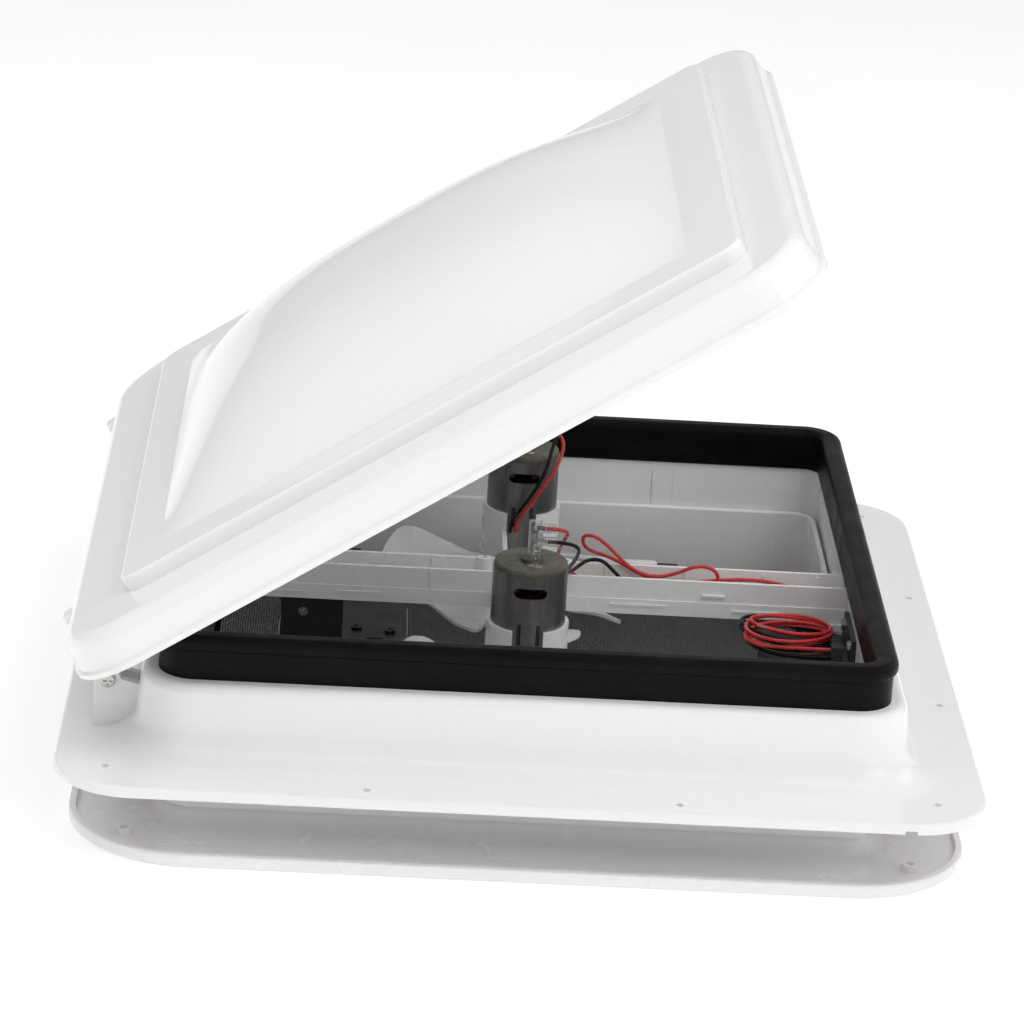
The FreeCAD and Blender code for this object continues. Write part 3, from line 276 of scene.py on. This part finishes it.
M["can"] = metal("can_zinc", (0.13, 0.13, 0.132), (0.33, 0.33, 0.325), 0.26, 0.46, 90.0, 0.45, 0.95, (1, 1, 0.14))
M["shaft"] = metal("steel_turned", (0.42, 0.42, 0.43), (0.62, 0.62, 0.62), 0.18, 0.34, 90.0, 0.2)
M["screw"] = metal("screw_zinc", (0.46, 0.455, 0.44), (0.70, 0.69, 0.66), 0.20, 0.36, 240.0, 0.3)
M["screw_black"] = metal("screw_black_oxide", (0.03, 0.03, 0.032), (0.09, 0.09, 0.09), 0.30, 0.45, 240.0, 0.3, 0.9)
M["brass"] = metal("tab_brass", (0.55, 0.38, 0.14), (0.78, 0.60, 0.27), 0.22, 0.38, 260.0, 0.3)
M["tin"] = metal("terminal_tin", (0.42, 0.42, 0.43), (0.78, 0.78, 0.77), 0.14, 0.30, 320.0, 0.25)
M["magnet"] = black_plastic("ferrite", (0.045, 0.043, 0.043), 0.55, 0.75, 600.0, 0.5)

a = Mat("armature")
wind = a.range(a.noise(300.0, 3.0, 0.6, (1.0, 1.0, 0.15)), 0.0, 1.0, 0.40, 0.62)
a.color(a.mix(wind, (0.020, 0.018, 0.017), (0.13, 0.035, 0.016)))
a.rough(a.range(a.noise(200.0), 0.28, 0.5))
a.bump(a.noise(900.0, 2.0), 0.4, 0.0001)
a.set(Metallic=0.9)
M["armature"] = a.m

k = Mat("cap_nylon")
kc = k.ramp(k.noise(85.0, 6.0, 0.65), [(0.28, (0.055, 0.056, 0.038)), (0.50, (0.115, 0.112, 0.080)), (0.75, (0.21, 0.20, 0.155))])
k_sep = k.n.new("ShaderNodeSeparateXYZ")
k.l.new(k.co, k_sep.inputs["Vector"])
k_dx = k.math("SUBTRACT", k_sep.outputs["X"], 0.002)
k_dy = k.math("SUBTRACT", k.math("ABSOLUTE", k_sep.outputs["Y"], 0.0), 0.0855)
k_r = k.math("SQRT", k.math("ADD", k.math("MULTIPLY", k_dx, k_dx), k.math("MULTIPLY", k_dy, k_dy)), 0.0)
k_hub = k.ramp(k.math("ADD", k.math("MULTIPLY", k_r, 50.0), k.math("MULTIPLY", k.noise(140.0, 3.0), 0.10)),
               [(0.0, (0.34, 0.34, 0.33)), (0.36, (0.48, 0.48, 0.46)), (0.46, (1, 1, 1))])
kc = k.mix(1.0, kc, k_hub, "MULTIPLY")
k.color(k.mix(0.5, kc, k.ramp(k.noise(420.0, 4.0, 0.7), [(0.35, (0.72, 0.72, 0.70)), (0.65, (1, 1, 1))]), "MULTIPLY"))
k.rough(k.range(k.noise(160.0, 4.0), 0.42, 0.66))
k.bump(k.noise(620.0, 3.0), 0.35, 0.00012)
M["cap"] = k.m

M["roller"] = white_plastic("roller_acetal", (0.80, 0.79, 0.74), 0.30, 0.42, peel=0.08)
M["black"] = black_plastic("operator_black", (0.022, 0.022, 0.024), 0.34, 0.50, 1100.0, 0.35)
M["rocker"] = black_plastic("rocker_black", (0.018, 0.018, 0.018), 0.14, 0.24, 300.0, 0.10)
M["mesh"] = black_plastic("mesh_black", (0.011, 0.011, 0.012), 0.42, 0.58, 1500.0, 0.2)
for x in M["mesh"].node_tree.nodes:
    if x.type == "BSDF_PRINCIPLED":
        x.inputs["Specular IOR Level"].default_value = 0.16
M["clear"] = clear_vinyl("sleeve_clear")
M["clear_soft"] = clear_vinyl("sleeve_milky")
for x in M["clear_soft"].node_tree.nodes:
    if x.type == "BSDF_PRINCIPLED":
        x.inputs["Alpha"].default_value = 0.55
M["red"] = pvc("wire_red", (0.62, 0.030, 0.032))
M["blackwire"] = pvc("wire_black", (0.0045, 0.0045, 0.005))
for x in M["blackwire"].node_tree.nodes:
    if x.type == "BSDF_PRINCIPLED":
        x.inputs["Specular IOR Level"].default_value = 0.22
        x.inputs["Coat Weight"].default_value = 0.06
M["copper"] = metal("copper_strand", (0.50, 0.26, 0.15), (0.80, 0.62, 0.50), 0.24, 0.40, 600.0, 0.2)

USE = {
    "roof_flange": "flange", "neck_gasket": "gasket", "lid_dome": "lid", "hinge_screws": "screw",
    "garnish_frame": "trim", "fan_beam": "beam", "beam_screws": "screw",
    "motor_front_can": "can", "motor_rear_can": "can", "motor_front_cap": "cap", "motor_rear_cap": "cap",
    "motor_front_tabs": "brass", "motor_rear_tabs": "brass", "motor_front_magnets": "magnet",
    "motor_rear_magnets": "magnet", "motor_front_armature": "armature", "motor_rear_armature": "armature",
    "terminal_sleeves_front": "clear", "terminal_sleeves_rear": "clear", "rear_splice": "clear",
    "fan_front": "fan", "fan_rear": "fan", "screen_frame": "black", "screen_clips": "black",
    "operator_housing": "black", "operator_cover": "black", "operator_screws": "screw_black",
    "arm_pivot_pin": "screw", "worm_shaft": "shaft", "lift_arm": "arm", "roller_pin": "screw",
    "arm_roller": "roller", "lid_rail": "arm", "lid_rail_screws": "screw", "knob": "knob", "knob_screw": "screw",
    "switch_body": "black", "switch_rocker": "rocker", "junction_box": "black", "junction_cover": "black",
    "junction_screws": "screw", "insect_screen": "mesh",
    "lead_front_red": "red", "lead_rear_red": "red", "supply_coil_red": "red", "supply_lead_red": "red",
    "lead_front_black": "blackwire", "lead_rear_black": "blackwire", "supply_coil_black": "blackwire",
    "supply_lead_black": "blackwire",
}
for node, obj in N.items():
    obj.data.materials.clear()
    obj.data.materials.append(M[USE[node]])


def link(obj, body, mat):
    scene.collection.objects.link(obj)
    obj.data.materials.append(M[mat])
    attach(obj, body)
    return obj


# ------------------------------------------------------------------ cords
WIRE_D = 2.0
FRONT_RED = [(9.0, -76.0, 91.3), (17.0, -76.0, 91.3), (21.0, -69.5, 87.0), (18.5, -58.0, 77.5),
             (17.5, -42.0, 66.5), (18.0, -26.0, 56.5), (21.5, -12.0, 48.5), (29.0, -3.0, 38.5),
             (41.0, 1.0, 30.5), (56.0, 2.2, 28.0), (72.0, 1.5, 27.8), (87.0, 0.0, 28.6),
             (99.0, -1.0, 31.5), (105.5, -0.5, 38.5), (102.5, 0.0, 45.4), (92.5, 0.5, 46.3),
             (83.0, 1.0, 41.2), (72.0, 1.5, 38.0), (61.0, 2.2, 40.5), (53.0, 3.4, 46.7),
             (46.0, 4.8, 53.3), (38.5, 6.4, 58.2), (32.5, 7.8, 57.6), (32.5, 9.2, 52.0),
             (37.5, 9.7, 48.0), (46.0, 9.2, 46.0), (54.5, 7.8, 42.6), (64.0, 6.4, 37.4),
             (75.0, 5.8, 34.2), (90.0, 5.4, 34.5), (106.0, 4.6, 37.2), (122.0, 4.0, 38.6),
             (137.0, 3.8, 37.3), (147.0, 3.5, 34.5), (152.0, 2.0, 29.0), (152.0, 2.0, 22.2)]
FRONT_BLACK = [(9.0, -95.0, 91.3), (18.0, -95.0, 91.3), (25.5, -90.0, 87.5), (26.0, -77.0, 78.0),
               (23.0, -60.0, 65.0), (21.5, -41.0, 54.5), (23.0, -23.0, 47.0), (28.0, -10.5, 45.0),
               (34.5, -4.0, 48.3), (42.5, -2.5, 48.4), (50.0, -3.0, 41.5), (59.0, -3.8, 32.7),
               (73.0, -5.0, 27.4), (91.0, -5.5, 26.8), (109.0, -6.0, 26.8), (127.0, -5.5, 27.8),
               (140.5, -5.0, 31.5), (148.8, -4.2, 33.0), (152.0, -4.0, 28.0), (152.0, -4.0, 22.2)]
REAR_RED = [(9.0, 76.0, 91.3), (18.0, 76.0, 91.3), (23.0, 68.0, 86.5), (18.5, 61.0, 74.5),
            (10.5, 58.5, 62.0), (3.5, 59.0, 50.5), (-1.0, 62.0, 43.5), (-1.2, 63.7, 36.5)]
REAR_BLACK = [(9.0, 95.0, 91.3), (18.0, 95.0, 91.3), (23.5, 86.0, 94.5), (21.5, 75.0, 95.5), (16.5, 65.0, 88.5),
              (13.5, 58.0, 76.0), (7.5, 56.0, 63.0), (0.5, 57.8, 51.5), (-4.0, 61.5, 43.5), (-4.2, 63.7, 36.5)]


def cord_curve(name, pts, mat):
    cu = bpy.data.curves.new(name, "CURVE")
    cu.dimensions = "3D"
    sp = cu.splines.new("NURBS")
    sp.points.add(len(pts) - 1)
    for q, p in zip(sp.points, pts):
        q.co = (p[0] * MM, p[1] * MM, p[2] * MM, 1.0)
    sp.order_u = 3
    sp.use_endpoint_u = True
    sp.resolution_u = 10
    cu.bevel_depth = WIRE_D * MM / 2
    cu.bevel_resolution = 4
    cu.use_fill_caps = True
    o = bpy.data.objects.new(name, cu)
    return link(o, "base", mat)


def spline_length(o):
    """Length in metres of a curve's own line."""
    cu = o.data.copy()
    cu.bevel_depth = 0.0
    t = bpy.data.objects.new("measure", cu)
    scene.collection.objects.link(t)
    me = bpy.data.meshes.new_from_object(t.evaluated_get(bpy.context.evaluated_depsgraph_get()))
    total = sum((me.vertices[e.vertices[0]].co - me.vertices[e.vertices[1]].co).length for e in me.edges)
    line = [v.co.copy() for v in me.vertices]
    bpy.data.objects.remove(t)
    bpy.data.curves.remove(cu)
    bpy.data.meshes.remove(me)
    return total, line


def hank_points(start, turns, z0, pitch, last):
    """Turns of a loose hank, clockwise from the gland at (160, -62.5).

    Each turn is (centre x, centre y, long half axis, short half axis, turned by, height of its left end).
    """
    pts = [(160.0, -62.5, start), (154.0, -62.5, start), (148.0, -62.6, start)]
    per = 16
    total = int((len(turns) - 1 + last) * per)
    for i in range(total + 1):
        u = i / per
        k0 = min(int(u), len(turns) - 1)
        k1 = min(k0 + 1, len(turns) - 1)
        f = u - k0
        f = f * f * (3 - 2 * f)
        cx, cy, ra, rb, phi, tip = [turns[k0][j] * (1 - f) + turns[k1][j] * f for j in range(6)]
        a = math.radians(-90.0) - 2 * math.pi * u
        ex, ey = ra * math.cos(a), rb * math.sin(a)
        p = math.radians(phi)
        x = cx + ex * math.cos(p) - ey * math.sin(p)
        y = cy + ex * math.sin(p) + ey * math.cos(p)
        fade = min(1.0, i / 6.0)
        z = z0 + pitch * u + tip * 0.5 * (1 - math.cos(a)) * (0.4 + 0.6 * fade)
        z = start + (z - start) * fade
        pts.append((x, y, z))
    return pts


RED_HANK = hank_points(27.5, [(141.0, -44.0, 22.5, 18.5, 8.0, 0.0), (138.6, -46.5, 24.2, 14.0, 20.0, -0.5),
                              (141.5, -40.5, 21.5, 13.0, -2.0, 5.0), (139.0, -44.5, 23.8, 17.6, 14.0, 1.0),
                              (141.0, -41.5, 20.5, 15.0, 4.0, 3.0)], 26.2, 1.3, 0.15)
BLACK_HANK = hank_points(23.0, [(140.5, -43.0, 21.5, 19.0, 0.0, 0.0), (138.0, -38.5, 24.6, 15.5, -10.0, 5.5),
                                (139.5, -42.0, 22.6, 18.6, 8.0, 1.5), (138.2, -37.6, 23.6, 14.5, -12.0, 4.5)], 22.3, 1.0, 0.40)

CORDS = {}
for nm, pts, mat, slot, stiff in (
        ("lead_front_red_wire", FRONT_RED, "red", "wire_red", "limp"),
        ("lead_front_black_wire", FRONT_BLACK, "blackwire", "wire_black", "limp"),
        ("lead_rear_red_wire", REAR_RED, "red", "wire_red", "limp"),
        ("lead_rear_black_wire", REAR_BLACK, "blackwire", "wire_black", "limp"),
        ("supply_red_wire", RED_HANK, "red", "wire_red", "limp"),
        ("supply_black_wire", BLACK_HANK, "blackwire", "wire_black", "limp")):
    o = cord_curve(nm, pts, mat)
    length, line = spline_length(o)
    CORDS[nm] = (o, length, line, pts)
    print("cord", nm, "length mm", round(length * 1000, 1))

for nm, node in (("lead_front_red_wire", "lead_front_red"), ("lead_front_black_wire", "lead_front_black"),
                 ("lead_rear_red_wire", "lead_rear_red"), ("lead_rear_black_wire", "lead_rear_black")):
    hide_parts(node)
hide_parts("supply_coil_red", "supply_lead_red")
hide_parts("supply_coil_black", "supply_lead_black")


def bare_end(name, line):
    """Seven bare copper strands, slightly twisted, past the end of the insulation."""
    end = line[-1]
    d = (line[-1] - line[-4]).normalized()
    side = d.cross(Vector((0, 0, 1))).normalized()
    top = side.cross(d)
    bm = bmesh.new()
    strands = [(0.0, 0.0)] + [(0.42 * math.cos(math.radians(60 * i)), 0.42 * math.sin(math.radians(60 * i))) for i in range(6)]
    for sx, sy in strands:
        rings = []
        for s in range(9):
            t = -0.8 + 6.3 * s / 8
            tw = 0.14 * max(t, 0)
            px = sx * math.cos(tw) - sy * math.sin(tw)
            py = sx * math.sin(tw) + sy * math.cos(tw)
            c = end + d * (t * MM) + side * (px * MM) + top * (py * MM)
            rings.append([bm.verts.new(c + side * (0.2 * MM * math.cos(w * math.pi / 3)) + top * (0.2 * MM * math.sin(w * math.pi / 3)))
                          for w in range(6)])
        for r1, r2 in zip(rings, rings[1:]):
            for w in range(6):
                bm.faces.new((r1[w], r1[(w + 1) % 6], r2[(w + 1) % 6], r2[w]))
        bm.faces.new(list(reversed(rings[0])))
        bm.faces.new(rings[-1])
    me = bpy.data.meshes.new(name)
    bm.normal_update()
    bm.to_mesh(me)
    bm.free()
    for p in me.polygons:
        p.use_smooth = True
    return link(bpy.data.objects.new(name, me), "base", "copper")


def lead_sleeve(name, line, centre_x, z_min, length, r):
    """Short clear tube pushed along a lead, following the lead's own line."""
    best = min(range(len(line)), key=lambda i: abs(line[i].x - centre_x * MM) + (0 if line[i].z > z_min * MM else 1) + (0 if i > len(line) // 2 else 1))
    pts = [best]
    a = b = best
    got = 0.0
    while got < length * MM and a > 1 and b < len(line) - 2:
        got += (line[a] - line[a - 1]).length + (line[b + 1] - line[b]).length
        a -= 1
        b += 1
    seg = line[a:b + 1]
    bm = bmesh.new()
    outer, inner = [], []
    n = len(seg)
    for i, c in enumerate(seg):
        d = (seg[min(i + 1, n - 1)] - seg[max(i - 1, 0)]).normalized()
        side = d.cross(Vector((0, 0, 1))).normalized()
        top = side.cross(d)
        swell = 1.0 + 0.06 * math.sin(5.0 * i / max(1, n - 1))
        for rings, rr in ((outer, r * swell), (inner, r * swell - 0.35)):
            rings.append([bm.verts.new(c + side * (rr * MM * math.cos(w * math.pi / 8)) + top * (rr * MM * 0.86 * math.sin(w * math.pi / 8)))
                          for w in range(16)])
    for rings in (outer, inner):
        for r1, r2 in zip(rings, rings[1:]):
            for w in range(16):
                bm.faces.new((r1[w], r1[(w + 1) % 16], r2[(w + 1) % 16], r2[w]))
    for k in (0, -1):
        for w in range(16):
            bm.faces.new((outer[k][w], outer[k][(w + 1) % 16], inner[k][(w + 1) % 16], inner[k][w]))
    bmesh.ops.recalc_face_normals(bm, faces=bm.faces)
    me = bpy.data.meshes.new(name)
    bm.to_mesh(me)
    bm.free()
    for p in me.polygons:
        p.use_smooth = True
    return link(bpy.data.objects.new(name, me), "base", "clear_soft")


front_sleeve = lead_sleeve("lead_front_red_sleeve", CORDS["lead_front_red_wire"][2], 80.0, 30.0, 11.0, 2.1)
red_end = bare_end("supply_red_bare_end", CORDS["supply_red_wire"][2])
black_end = bare_end("supply_black_bare_end", CORDS["supply_black_wire"][2])

for nm, far, lay, going in (
        ("lead_front_red_wire", "object", "loose", [front_sleeve]),
        ("lead_front_black_wire", "object", "loose", []),
        ("lead_rear_red_wire", "object", "hanging", []),
        ("lead_rear_black_wire", "object", "hanging", []),
        ("supply_red_wire", "bare", "coiled", [red_end]),
        ("supply_black_wire", "bare", "coiled", [black_end])):
    o, length, line, pts = CORDS[nm]

# ------------------------------------------------------------------ terminals
def strip(bm, pts, width_dir, half, thick_dir, th):
    """A bent metal strip through pts, with the given half width and thickness."""
    rings = []
    for c in pts:
        rings.append([bm.verts.new(c + width_dir * (sx * half * MM) + thick_dir * (sy * th * MM))
                      for sx, sy in ((-1, -1), (1, -1), (1, 1), (-1, 1))])
    for r1, r2 in zip(rings, rings[1:]):
        for w in range(4):
            bm.faces.new((r1[w], r1[(w + 1) % 4], r2[(w + 1) % 4], r2[w]))
    bm.faces.new(list(reversed(rings[0])))
    bm.faces.new(rings[-1])


def terminal(name, y, out):
    """Tinned receptacle on a tab at (3.5, y), with its crimp towards +x under the sleeve."""
    bm = bmesh.new()
    yv, xv, zv = Vector((0, 1, 0)), Vector((1, 0, 0)), Vector((0, 0, 1))
    for off in (-0.75, 0.75):
        pts = [P(3.5, y + off, z) for z in (79.4, 80.6, 85.0, 88.6, 90.2)]
        strip(bm, pts, xv, 1.75, yv, 0.14)
    for sx in (-1.75, 1.75):
        pts = [P(3.5 + sx, y, z) for z in (79.6, 84.0, 88.4)]
        strip(bm, pts, yv, 0.8, xv, 0.14)
    for sgn in (-1, 1):
        pts = [P(4.2 + 0.9 * i, y + sgn * (0.9 - 0.05 * i), 91.3 + 0.25 * math.sin(i * 0.9)) for i in range(6)]
        strip(bm, pts, zv, 0.95, yv, 0.13)
    for i, z in enumerate((82.2, 86.2)):
        ring = []
        for w in range(10):
            a = 2 * math.pi * w / 10
            ring.append(bm.verts.new(P(3.5 + 0.62 * math.cos(a), y - 0.92, z + 0.62 * math.sin(a))))
        mid = bm.verts.new(P(3.5, y - 1.28, z))
        for w in range(10):
            bm.faces.new((ring[w], ring[(w + 1) % 10], mid))
    bmesh.ops.recalc_face_normals(bm, faces=bm.faces)
    me = bpy.data.meshes.new(name)
    bm.to_mesh(me)
    bm.free()
    return link(bpy.data.objects.new(name, me), "base", "tin")


for nm, ys in (("front", (-95.0, -76.0)), ("rear", (76.0, 95.0))):
    for i, y in enumerate(ys):
        terminal("terminal_%s_%s" % (nm, "ab"[i]), y, 1)

# ------------------------------------------------------------------ insect screen
def strands(name):
    """Woven screen: round strands crossing over and under, cut out round the operator pad."""
    bm = bmesh.new()
    half = 160.6
    pitch = 1.34
    wire = 0.24
    holes = [(-126.2, -56.8, -6.2, 90.2), (-162.0, -125.0, 11.8, 40.2)]

    def spans(c, along_x):
        cuts = []
        for x0, x1, y0, y1 in holes:
            a0, a1, b0, b1 = (y0, y1, x0, x1) if along_x else (x0, x1, y0, y1)
            if a0 - wire < c < a1 + wire:
                cuts.append((b0, b1))
        cuts.sort()
        out, s = [], -half
        for b0, b1 in cuts:
            if b0 > s:
                out.append((s, b0))
            s = max(s, b1)
        if s < half:
            out.append((s, half))
        return out

    n = int(2 * half / pitch)
    for along_x in (True, False):
        z = -21.75 if along_x else -21.45
        for i in range(n + 1):
            c = -half + i * pitch
            for s0, s1 in spans(c, along_x):
                rings = []
                for s in (s0, s1):
                    ring = []
                    for w in range(6):
                        a = math.pi * (2 * w + 1) / 6
                        d, h = wire * math.cos(a), wire * math.sin(a)
                        p = (s, c + d, z + h) if along_x else (c + d, s, z + h)
                        ring.append(bm.verts.new(P(*p)))
                    rings.append(ring)
                for w in range(6):
                    q = (rings[0][w], rings[0][(w + 1) % 6], rings[1][(w + 1) % 6], rings[1][w])
                    bm.faces.new(q if along_x else tuple(reversed(q)))
                bm.faces.new(rings[0] if not along_x else list(reversed(rings[0])))
                bm.faces.new(rings[1] if along_x else list(reversed(rings[1])))
    bmesh.ops.recalc_face_normals(bm, faces=bm.faces)
    me = bpy.data.meshes.new(name)
    bm.to_mesh(me)
    bm.free()
    for p in me.polygons:
        p.use_smooth = len(p.vertices) == 4
    return link(bpy.data.objects.new(name, me), "base", "mesh")


screen = strands("insect_screen_weave")
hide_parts("insect_screen")

# ------------------------------------------------------------------ stage and light
floor_z = cad_lo[2] - 0.0004
bm = bmesh.new()
bmesh.ops.create_grid(bm, x_segments=2, y_segments=2, size=6.0)
me = bpy.data.meshes.new("floor")
bm.to_mesh(me)
bm.free()
floor = bpy.data.objects.new("floor", me)
floor.location = (0, 0, floor_z)
scene.collection.objects.link(floor)
fm = Mat("floor_paper")
fm.color(fm.ramp(fm.noise(3.0, 2.0), [(0.3, (0.90, 0.90, 0.90)), (0.7, (0.93, 0.93, 0.93))]))
fm.set(Roughness=0.9)
fm.b.inputs["Emission Color"].default_value = (1.0, 1.0, 1.0, 1.0)
fm.b.inputs["Emission Strength"].default_value = 0.29
floor.data.materials.append(fm.m)

world = bpy.data.worlds.new("studio")
scene.world = world
world.use_nodes = True
bg = [x for x in world.node_tree.nodes if x.type == "BACKGROUND"][0]
bg.inputs["Color"].default_value = (1.0, 1.0, 1.0, 1.0)
bg.inputs["Strength"].default_value = 0.57
wn, wl = world.node_tree.nodes, world.node_tree.links
w_co = wn.new("ShaderNodeTexCoord")
w_sep = wn.new("ShaderNodeSeparateXYZ")
wl.new(w_co.outputs["Generated"], w_sep.inputs["Vector"])
w_ramp = wn.new("ShaderNodeValToRGB")
w_ramp.color_ramp.elements[0].position = 0.10
w_ramp.color_ramp.elements[0].color = (0.86, 0.86, 0.87, 1.0)
w_ramp.color_ramp.elements[1].position = 0.85
w_ramp.color_ramp.elements[1].color = (1.02, 1.02, 1.02, 1.0)
w_map = wn.new("ShaderNodeMapRange")
w_map.inputs["From Min"].default_value = -1.0
w_map.inputs["From Max"].default_value = 1.0
wl.new(w_sep.outputs["X"], w_map.inputs["Value"])
wl.new(w_map.outputs["Result"], w_ramp.inputs["Fac"])
wl.new(w_ramp.outputs["Color"], bg.inputs["Color"])


def area(name, loc, target, size, power, spread=None):
    ld = bpy.data.lights.new(name, "AREA")
    ld.shape = "RECTANGLE"
    ld.size, ld.size_y = size
    ld.energy = power
    lo = bpy.data.objects.new(name, ld)
    lo.location = loc
    lo.rotation_mode = "QUATERNION"
    lo.rotation_quaternion = (Vector(target) - Vector(loc)).to_track_quat("-Z", "Y")
    scene.collection.objects.link(lo)
    return lo


key = area("key_top", (-1.0, -0.30, 2.0), (-0.05, 0, 0.12), (1.8, 1.8), 13.5)
key.visible_glossy = False
right_top = area("right_top", (0.9, -0.8, 1.9), (0.08, 0.02, 0.0), (1.0, 1.0), 12)
right_top.visible_glossy = False
area("right_front", (1.7, -1.5, 0.95), (0.0, 0.05, 0.03), (1.2, 0.8), 4)
area("right_back", (2.1, 0.7, 1.0), (0, 0, 0.03), (0.9, 1.2), 4)
area("front_fill", (0.5, -2.4, 0.8), (0.05, 0, 0.02), (1.4, 0.7), 0.4)
area("strip", (0.25, -1.15, 1.75), (0, 0, 0.12), (1.3, 0.09), 1.4)

print("cad box", [round(v * 1000, 1) for v in cad_lo + cad_hi])
